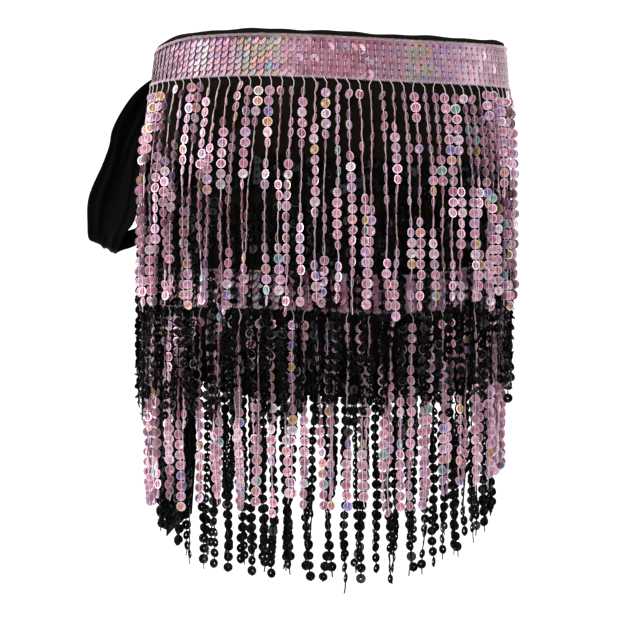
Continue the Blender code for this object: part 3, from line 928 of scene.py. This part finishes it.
# %% The tiers
Tier = namedtuple("Tier", "name top bottom start end length left_rise right_rise colour turns")
Turn = namedtuple("Turn", "drop out level")
TIERS = (
    Tier("1", 0.0135, -0.018, -80, 232, 0.174, 0.0, 0.0, "pink",
         (Turn(0.0, 0.0036, -0.018), Turn(0.030, 0.0046, -0.048), Turn(0.082, 0.0062, -0.1))),
    Tier("2", -0.0790, -0.107, -108, 232, 0.161, 0.0, 0.0, "black",
         (Turn(0.0, 0.0028, -0.107), Turn(0.030, 0.0026, -0.1))),
    Tier("3", -0.1680, -0.196, -108, 232, 0.149, 0.004, 0.020, "pink",
         (Turn(0.0, 0.0030, -0.196), Turn(0.020, 0.0042, -0.199), Turn(0.150, 0.0030, -0.212))),
    Tier("4", -0.2310, -0.259, -108, 232, 0.139, 0.020, 0.020, "black",
         (Turn(0.0, 0.0030, -0.259),)),
)
STRAND_PITCH = {"1": 0.0083, "2": 0.0065, "3": 0.0083, "4": 0.0078}
SEQUIN_PITCH = 0.0080
ANGLE_SAMPLES = 1500


def edges_of(tier, angle):
    """The heights of a band's bottom and top edge, for an array of angles."""
    rise = np.where(np.sin(np.radians(angle)) > 0, tier.right_rise, tier.left_rise) * over_hip(angle)
    pull = knot_pull(angle) if tier.name == "1" else 0
    return tier.bottom + rise, tier.top + rise - pull


def even_angles(tier, z, pitch):
    """Angles that are spaced evenly along the tier's length, and the metres of one degree there."""
    fine = np.linspace(tier.start, tier.end, ANGLE_SAMPLES)
    points = place(fine, z, 0)
    run = np.concatenate([[0], np.cumsum(np.linalg.norm(np.diff(points, axis=0), axis=1))])
    count = round(run[-1] / pitch)
    return np.interp((np.arange(count) + 0.5) * run[-1] / count, run, fine), run[-1] / (tier.end - tier.start)


Shorter = namedtuple("Shorter", "right left far_left")
SHORTER = {
    "1": Shorter(0.010, 0.0, 0.0),
    "2": Shorter(0.022, 0.0, 0.0),
    "3": Shorter(0.006, 0.0, 0.0),
    "4": Shorter(0.026, -0.007, 0.028),
}


def shorter_at(tier, angle):
    """How much shorter the tier's strings are towards each side of the scarf, as the photograph shows."""
    side = np.sin(np.radians(angle))
    shorter = SHORTER[tier.name]
    if side > 0:
        return shorter.right * side**3
    return shorter.left * abs(side) ** 3 + shorter.far_left * side**12


print("tiers:", len(TIERS), "with strings", [tier.length for tier in TIERS], "m long")

# %% [markdown]
# ## The sequin bands
# Flat sequins overlap like scales in straight rows, sewn down by upright threads through their holes.
# Each disc leans a little, so that its edge lies on its neighbour, and towards the bow they stand up
# like scales. Where they lie flat, painted shade dims them. Holographic film shows broad patches of
# other colours, which are painted reflections here, and on the top band they lie where the photograph
# has them. A near white one is a painted highlight. In some patches every disc has a colour of its own.

# %% Bands
BAND_PITCH = 0.0060
BAND_ROWS = {"1": 6, "2": 5, "3": 5, "4": 5}
BAND_MARGIN = 0.0012
LEAN_SIDE, LEAN_DOWN, LEAN_MORE = math.radians(5), math.radians(6), math.radians(7)
LEAN_CHANCE = {"pink": 0.04, "black": 0.22}
STANDS_FROM, STANDS_OVER = -10.0, 20.0  # the scales stand up from here towards the bow
# Painted shade: the scales' crescent shadow, and the dimming of flat discs, which reflect less of the lamp
SCALE_SHADE, FLAT_PAINTED_SHADE = 0.9, 0.77
# Colours of the painted holographic reflections
RAINBOW = (
    (0.68, 0.60, 0.26), (0.46, 0.53, 0.36), (0.42, 0.52, 0.46), (0.36, 0.43, 0.62), (0.84, 0.48, 0.40),
    (0.72, 0.64, 0.56),
)
Patch = namedtuple("Patch", "angle width colours strength")
# Patches of painted reflection; the near white one at -53 degrees is a painted highlight
REFLECTION_PATCHES = (
    Patch(-68, 9, ((0.66, 0.47, 0.61),), 0.60),
    Patch(-53, 4, ((0.96, 0.88, 0.94),), 0.80),
    Patch(-29, 11, RAINBOW, 0.80),
    Patch(3, 23, ((0.33, 0.06, 0.14),), 0.88),
    Patch(36, 5.5, RAINBOW, 0.75),
    Patch(46, 5, ((0.40, 0.26, 0.50),), 0.70),
    Patch(62, 14, ((0.46, 0.28, 0.38),), 0.60),
    Patch(79, 5, RAINBOW, 0.60),
    Patch(120, 9, RAINBOW, 0.60),
    Patch(165, 12, ((0.62, 0.50, 0.42), (0.66, 0.40, 0.52)), 0.60),
    Patch(205, 9, RAINBOW, 0.60),
)
PLAIN_PINK = (0.60, 0.33, 0.47)
OWN_SHARE = 0.35
PATCH_CHANCE = 0.85
BAND_SHADED = (0.85, 1.15)
BELT_DISC_OUT, PANEL_DISC_OUT = 0.0021, 0.0016
UNEVEN_ANGLE, UNEVEN_Z, UNEVEN_OUT = 0.03, 0.00015, 0.00008  # sewn by hand: degrees, metres, metres


def standing(angle):
    """How far the scales stand up, from 0 to 1: they lie flat at the right, where painted shade dims them."""
    return np.clip((STANDS_FROM - angle) / STANDS_OVER, 0, 1)


def band_films(tier, angle, chance):
    films = draw_films(tier.colour, len(angle), chance)
    if tier.colour == "black":
        return films
    films = films * OWN_SHARE + np.array(PLAIN_PINK) * (1 - OWN_SHARE)
    # Painted reflections of the holographic film, patch by patch
    for patch in REFLECTION_PATCHES:
        share = patch.strength * np.exp(-(((angle - patch.angle) / patch.width) ** 4))
        share = np.where(chance.random(len(angle)) < PATCH_CHANCE, share, 0)[:, None]
        drawn = np.array(patch.colours)[chance.integers(len(patch.colours), size=len(angle))]
        films = films * (1 - share) + drawn * share
    # Painted shade: flat discs are dimmed, as they reflect less of the lamp
    films = films * (FLAT_PAINTED_SHADE + (1 - FLAT_PAINTED_SHADE) * standing(angle))[:, None]
    return np.clip(films * chance.uniform(*BAND_SHADED, (len(angle), 1)), 0, 1)


def frames_on_form(angle, level):
    """Right, up and outward directions at each angle."""
    _, along_x, along_y = outwards_at(angle, level)
    outward = np.stack([along_x, along_y, np.zeros_like(along_x)], -1)
    up = np.tile([0.0, 0.0, 1.0], (len(angle), 1))
    return np.cross(up, outward), up, outward


def turned(first, second, angle):
    """Both directions turned in their own plane, from first towards second."""
    cosine, sine = np.cos(angle)[:, None], np.sin(angle)[:, None]
    return first * cosine + second * sine, second * cosine - first * sine


def disc_out(tier):
    """How far out the band's discs lie: the folded waistband is thicker than the panel."""
    return BELT_DISC_OUT if tier.name == "1" else PANEL_DISC_OUT


def make_band(tier):
    chance = np.random.default_rng(40 + int(tier.name))
    columns, _ = even_angles(tier, tier.bottom, BAND_PITCH)
    rows = BAND_ROWS[tier.name]
    angle = np.repeat(columns, rows)
    number = np.tile(np.arange(rows), len(columns))
    bottom, top = edges_of(tier, angle)
    step = (top - bottom - 2 * BAND_MARGIN) / rows
    z = bottom + BAND_MARGIN + (number + 0.5) * step + chance.normal(0, UNEVEN_Z, len(angle))
    out = disc_out(tier) + chance.normal(0, UNEVEN_OUT, len(angle))
    right, up, outward = frames_on_form(angle, z)
    leans = chance.normal(0, LEAN_CHANCE[tier.colour], (2, len(angle)))
    side_lean, down_lean = leans + LEAN_MORE * standing(angle)
    side, outward = turned(right, outward, LEAN_SIDE + side_lean)
    outward, up = turned(outward, up, LEAN_DOWN + down_lean)
    points = place(angle + chance.normal(0, UNEVEN_ANGLE, len(angle)), z, out)
    films = band_films(tier, angle, chance)
    others = second_films(films, tier.colour, OTHER_HALF["flat"], chance)
    shades = SCALE_SHADE * standing(angle)
    band = sew_on(
        f"band_{tier.name}_sequins", "flat", tier.colour, points, turns_of(side, up, outward),
        np.ones(len(angle)), films, others, shades,
    )
    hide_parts(f"sequin_band_{tier.name}")
    print(band.name, len(angle), "sequins,", len(band.data.polygons), "faces")


# Each stitch comes out of a disc's hole, runs down over its lower half and goes in below it.
STITCH_DOWN = np.array([0.0, 0.03, 0.76, 0.86])  # in rows
STITCH_OUT = np.array([-0.0005, 0.0002, 0.0007, -0.0005])
STITCH_SWAY = 0.00035
EDGE_STEP, EDGE_REACH, EDGE_OUT, EDGE_WEAVE = 0.0016, 0.0009, 0.0008, 0.0002


def make_band_threads(tier):
    """The upright sewing threads, and the overcast edges above and below."""
    chance = np.random.default_rng(60 + int(tier.name))
    columns, metres = even_angles(tier, tier.bottom, BAND_PITCH)
    rows = BAND_ROWS[tier.name]
    heights = (np.arange(rows)[::-1, None] + 0.5 - STITCH_DOWN).ravel() / rows
    paths = []
    for angle in columns:
        bottom, top = edges_of(tier, angle)
        z = np.maximum(bottom + BAND_MARGIN + heights * (top - bottom - 2 * BAND_MARGIN), bottom)
        sway = np.repeat(chance.normal(0, STITCH_SWAY, rows), len(STITCH_DOWN))
        paths.append(place(angle + sway / metres, z, disc_out(tier) + np.tile(STITCH_OUT, rows)))
    edging = even_angles(tier, tier.bottom, EDGE_STEP)[0]
    zigzag = np.where(np.arange(len(edging)) % 2, 1, -1)
    for edge in edges_of(tier, edging):
        for phase in (1, -1):
            height = edge + phase * zigzag * EDGE_REACH + chance.normal(0, UNEVEN_Z, len(edging))
            paths.append(place(edging, height, disc_out(tier) + EDGE_OUT + phase * zigzag * EDGE_WEAVE))
    make_threads(
        f"band_{tier.name}_threads", paths, thread_materials[tier.colour],
        BAND_THREAD_RADIUS,
    )


for tier in TIERS:
    make_band(tier)
    make_band_threads(tier)

# %% [markdown]
# ## How the strings hang
# The strings aren't plumb. Each starts in a small hook where the thread leaves the band, drifts to one
# side and leans on a neighbour. The far strings of the lowest tiers hang behind the near ones.

# %% String paths
HOOK_START, HOOK_BULGE, HOOK_HEIGHT = 0.0016, 0.0014, 0.0105
HOOK_CHANCE = 0.8  # most strings hook to the same side
PATH_STEP = SEQUIN_PITCH / 2
DRIFT, FAR_DRIFT = 0.0012, 0.001
STRAY_CHANCE, STRAY_DRIFT = 0.08, 0.006
PULL_SHARE, TAIL_SHARE = (0.6, 1.0), (0.2, 1.0)
PAST_FOOT = 1.2
WAVE_DEPTH, WAVE_LENGTHS, WAVE_STARTS, KINK = 0.0007, (0.05, 0.11), (0, 6.3), 0.00022
PROUD, PROUD_FROM = (-0.0008, 0.0016), 0.03  # how far strings stand off each other, and from what drop
Hang = namedtuple("Hang", "first tail ragged wander pairing pull onset spin sway lean behind")
HANGS = {
    "1": Hang(0.0105, 0.005, 0.0035, 1.0, 0.50, 0.0026, 1.3, 3.1, 1.0, 0.10, False),
    "2": Hang(0.0105, 0.006, 0.0090, 1.8, 0.60, 0.0030, 1.0, 0.8, 0.6, 0.45, False),
    "3": Hang(0.0105, 0.006, 0.0040, 1.1, 0.75, 0.0040, 0.7, 1.2, 0.8, 0.12, True),
    "4": Hang(0.0040, 0.009, 0.0030, 1.8, 0.55, 0.0050, 2.0, 0.9, 0.7, 0.16, True),
}
SIDES_SEEN = 86.0
UNDER_TAILS = 207.0
TAIL_ROOM = 0.0036
FAR_SAMPLES = 500


def drift_of(count, hang, chance):
    """How far each string's foot ends from plumb: neighbours lean together, and a few stray."""
    drift = chance.normal(0, DRIFT * hang.wander, count)
    index = 0
    while index < count - 1:
        if chance.random() < hang.pairing:
            reach = hang.pull * chance.uniform(*PULL_SHARE)
            drift[index] += reach
            drift[index + 1] -= reach
            index += 1
        index += 1
    stray = chance.random(count) < STRAY_CHANCE
    drift[stray] += chance.normal(0, STRAY_DRIFT, stray.sum())
    return drift


def seen_at(angle, z):
    """Where the camera sees a point of the form, as a slope to its right."""
    points = place(angle, z, 0)
    return (points[..., 0] - CAMERA_SIDE) / (points[..., 1] + CAMERA_DISTANCE)


def behind_each_other(tier, angles, drifts, chance):
    """Moves the far strings behind the near ones, which keeps white gaps between the lowest strings."""
    near = np.abs(angles) < SIDES_SEEN
    far = np.linspace(180 - SIDES_SEEN, tier.end, FAR_SAMPLES)
    seen, seen_far = seen_at(angles, tier.bottom), seen_at(far, tier.bottom)
    hidden = near & (seen > seen_far[-1]) & (seen < seen_far[0])
    far_angles = np.interp(seen[hidden], seen_far[::-1], far[::-1])
    far_drifts = chance.normal(0, FAR_DRIFT, hidden.sum()) - drifts[hidden]
    beside = near | ((angles < 0) | (angles < far[0]))
    return np.concatenate([angles[beside], far_angles]), np.concatenate([drifts[beside], far_drifts])


def string_paths(tier):
    """Yields each string's path, its outward directions, and how far along the thread each point is."""
    chance = np.random.default_rng(int(tier.name))
    hang = HANGS[tier.name]
    angles, metres = even_angles(tier, tier.bottom, STRAND_PITCH[tier.name])
    drifts = drift_of(len(angles), hang, chance)
    if hang.behind:
        angles, drifts = behind_each_other(tier, angles, drifts, chance)
    drops, outs, levels = [np.array(column) for column in zip(*tier.turns)]
    for angle, drift in zip(angles, drifts):
        strung = tier.length - shorter_at(tier, angle) + chance.normal(0, hang.ragged)
        along = np.arange(0, strung + hang.tail * chance.uniform(*TAIL_SHARE), PATH_STEP)
        rest = np.clip(1 - along / HOOK_HEIGHT, 0, 1)
        hand = 1 if chance.random() < HOOK_CHANCE else -1
        hook = (HOOK_START * rest**2 - HOOK_BULGE * np.sin(np.pi * rest)) * hand
        share = np.clip(along / tier.length, 0, PAST_FOOT)
        turns = along * 2 * np.pi / chance.uniform(*WAVE_LENGTHS)
        wave = WAVE_DEPTH * hang.wander * np.sin(turns + chance.uniform(*WAVE_STARTS))
        kinks = chance.normal(0, KINK, len(along))
        sideways = -hook + drift * share**hang.onset + wave * share**0.5 + kinks
        z = edges_of(tier, angle)[0] - along
        proud = chance.uniform(*PROUD) * np.clip(along / PROUD_FROM, 0, 1)
        out = np.interp(along, drops, outs) + proud
        out = np.minimum(out, TAIL_ROOM) if angle > UNDER_TAILS else out
        level = np.interp(along, drops, levels)
        where = angle + sideways / metres
        yield place(where, z, out, level), where, level, along, strung, chance


print("strings of the first tier:", len(list(string_paths(TIERS[0]))))

# %% [markdown]
# ## Threading the sequins
# Now each string gets its sequins. One frame per sequin says which way it faces: along the thread,
# and outwards turned by a slow twist. The twist matters most, because it turns a run of sequins face
# on and then edge on, so that stretches look like bare thread. A little chance in the twist, lean and
# size keeps two neighbours from looking the same.

# %% Fringes
TWIST_WAVES = ((1.10, 0.150), (0.55, 0.060))  # each one's reach and wavelength
TWIST_SPREAD = (0.75, 1.35)
TWIST_CHANCE = 0.11
Edgewise = namedtuple("Edgewise", "angle along width length")
EDGEWISE = (Edgewise(-45, 0.114, 26, 0.026), Edgewise(45, 0.036, 26, 0.026))
EDGEWISE_CHANCE, EDGEWISE_GAIN, EDGEWISE_MOST = 0.85, 1.4, 0.95
FIRST_UNEVEN, CUP_SIZES = 0.001, (0.95, 1.03)
FLAT_UNDER_TAILS = 0.12


def twist_along(along, hang, chance):
    """The angle by which sequins turn about the thread, with the thread always on the outer side."""
    twist = chance.uniform(-hang.spin, hang.spin) + chance.normal(0, TWIST_CHANCE, len(along))
    for reach, wavelength in TWIST_WAVES:
        turns = along * 2 * np.pi / (wavelength * chance.uniform(*TWIST_SPREAD))
        twist = twist + hang.sway * reach * np.sin(turns + chance.uniform(0, 2 * np.pi))
    return twist - np.pi * np.round(twist / np.pi)


def edge_on(twist, angle, along, chance):
    """The first tier's twist, taken to a quarter turn where the photograph shows bare thread."""
    share = sum(
        np.exp(-(((angle - bare.angle) / bare.width) ** 2) - ((along - bare.along) / bare.length) ** 2)
        for bare in EDGEWISE
    )
    share = np.clip(EDGEWISE_GAIN * share, 0, EDGEWISE_MOST) * (chance.random() < EDGEWISE_CHANCE)
    return twist + share * (np.copysign(np.pi / 2, twist) - twist)


def make_fringe(tier):
    hang = HANGS[tier.name]
    paths, places, turns, sizes = [], [], [], []
    for path, where, level, along, strung, chance in string_paths(tier):
        paths.append(path)
        first = round((hang.first + chance.uniform(-FIRST_UNEVEN, FIRST_UNEVEN)) / PATH_STEP)
        last = min(round(strung / PATH_STEP), len(along) - 1)
        chosen = np.arange(first, last + 1, 2)
        _, _, outward = frames_on_form(where[chosen], level[chosen])
        up = np.gradient(path, axis=0)[chosen] * -1
        up /= np.linalg.norm(up, axis=1, keepdims=True)
        outward -= up * np.sum(outward * up, axis=1, keepdims=True)
        outward /= np.linalg.norm(outward, axis=1, keepdims=True)
        side = np.cross(up, outward)
        twist = twist_along(along[chosen], hang, chance)
        lean = chance.normal(0, hang.lean, len(chosen))
        if tier.name == "1":
            twist = edge_on(twist, where[0], along[chosen], chance)
        if where[0] > UNDER_TAILS:
            twist *= FLAT_UNDER_TAILS
            lean *= FLAT_UNDER_TAILS
        side, outward = turned(side, outward, twist)
        outward, up = turned(outward, up, lean)
        places.append(path[chosen])
        turns.append(turns_of(side, up, outward))
        sizes.append(chance.uniform(*CUP_SIZES, len(chosen)))
    places, turns, sizes = np.vstack(places), np.vstack(turns), np.concatenate(sizes)
    chance = np.random.default_rng(80 + int(tier.name))
    films = draw_films(tier.colour, len(places), chance)
    others = second_films(films, tier.colour, OTHER_HALF["cup"], chance)
    sequins = sew_on(
        f"fringe_{tier.name}_sequins", "cup", tier.colour, places, turns, sizes, films, others,
        np.zeros(len(places)),
    )
    make_threads(
        f"fringe_{tier.name}_threads", paths, thread_materials[tier.colour], THREAD_RADIUS[tier.colour]
    )
    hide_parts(f"fringe_{tier.name}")
    print(sequins.name, len(places), "sequins on", len(paths), "strings")


for tier in TIERS:
    make_fringe(tier)

for template in templates.values():
    bpy.data.objects.remove(template)

# %% [markdown]
# ## The sheets of cloth
# Each sheet of cloth is listed with the size it was cut to, and the sheets are counted. The panels
# hang from the waistband, the loop and the tails hang from the knot, and the waistband is a folded strip
# that the knot holds.

for cloth, held, rests_on, (width, length, area) in sheets:
    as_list(rests_on)
print("sheets:", len(sheets))

# %% [markdown]
# ## Floor and light
# The scarf is held at hip height, so the floor is a metre below the waist. Floor and wall are one
# pale sweep with a curved corner, which shows no horizon. A big soft lamp stands high in front, a
# little to the left, and a smaller one stands at each side. Two more light the wall until it is just
# white. Any more than that would spill round the thin black threads and eat them away.

# %% Stage
FLOOR_Z = -1.0
SWEEP_WIDTH, SWEEP_FRONT, SWEEP_BACK, SWEEP_HEIGHT, SWEEP_ROUND = 14.0, -5.0, 5.0, 7.0, 1.5
SWEEP_STEPS = 16
PAPER, PAPER_ROUGHNESS = (0.93, 0.93, 0.93, 1), 0.9


def make_sweep():
    sweep = bmesh.new()
    start = sweep.verts.new((-SWEEP_WIDTH / 2, SWEEP_FRONT, FLOOR_Z))
    flat_end = sweep.verts.new((-SWEEP_WIDTH / 2, SWEEP_BACK - SWEEP_ROUND, FLOOR_Z))
    sweep.edges.new((start, flat_end))
    centre = (0, SWEEP_BACK - SWEEP_ROUND, FLOOR_Z + SWEEP_ROUND)
    bmesh.ops.spin(sweep, geom=[flat_end], cent=centre, axis=(1, 0, 0), angle=math.pi / 2, steps=SWEEP_STEPS)
    sweep.verts.ensure_lookup_table()
    top = max(sweep.verts, key=lambda vert: vert.co.z)
    raised = bmesh.ops.extrude_vert_indiv(sweep, verts=[top])["verts"]
    bmesh.ops.translate(sweep, vec=(0, 0, SWEEP_HEIGHT), verts=raised)
    wide = bmesh.ops.extrude_edge_only(sweep, edges=sweep.edges[:])["geom"]
    moved = [item for item in wide if isinstance(item, bmesh.types.BMVert)]
    bmesh.ops.translate(sweep, vec=(SWEEP_WIDTH, 0, 0), verts=moved)
    bmesh.ops.recalc_face_normals(sweep, faces=sweep.faces)
    mesh = mesh_from(sweep, "pale_sweep")
    mesh.shade_smooth()
    pale, _, _ = new_material("pale_paper", Base_Color=PAPER, Roughness=PAPER_ROUGHNESS)
    mesh.materials.append(pale)
    return put("pale_sweep", mesh)


make_sweep()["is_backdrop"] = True

Lamp = namedtuple("Lamp", "name place aim size power")
LAMPS = (
    Lamp("key", (-0.6, -2.0, 1.5), (0, 0, -0.2), 1.6, 40),
    Lamp("side_left", (-2.2, -0.4, 0.1), (0, 0, -0.2), 0.8, 32),
    Lamp("side_right", (2.2, -0.6, 0.3), (0, 0, -0.2), 0.8, 18),
    Lamp("wall_left", (-2.6, 1.2, 1.6), (-1.0, 5.0, 0.0), 2.0, 110),
    Lamp("wall_right", (2.6, 1.2, 1.6), (1.0, 5.0, 0.0), 2.0, 110),
)
for lamp in LAMPS:
    data = bpy.data.lights.new(lamp.name, "AREA")
    data.shape = "SQUARE"
    data.size = lamp.size
    data.energy = lamp.power
    made = put(lamp.name, data)
    made.location = lamp.place
    made.rotation_euler = (Vector(lamp.aim) - Vector(lamp.place)).to_track_quat("-Z", "Y").to_euler()

WORLD_STRENGTH = 0.28
world = bpy.data.worlds.new("soft_room")
world.use_nodes = True
background = world.node_tree.nodes["Background"]
background.inputs["Color"].default_value = (1, 1, 1, 1)
background.inputs["Strength"].default_value = WORLD_STRENGTH
bpy.context.scene.world = world
bpy.context.scene.view_settings.view_transform = "Standard"
print("lamps:", len(LAMPS))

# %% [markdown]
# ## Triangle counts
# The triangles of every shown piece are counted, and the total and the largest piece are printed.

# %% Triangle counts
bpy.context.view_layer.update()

triangles = {}
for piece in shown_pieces():
    ready = piece.evaluated_get(bpy.context.evaluated_depsgraph_get()).to_mesh()
    ready.calc_loop_triangles()
    triangles[piece.name] = len(ready.loop_triangles)
print("triangles in all:", sum(triangles.values()), "most in one piece:", max(triangles.values()))
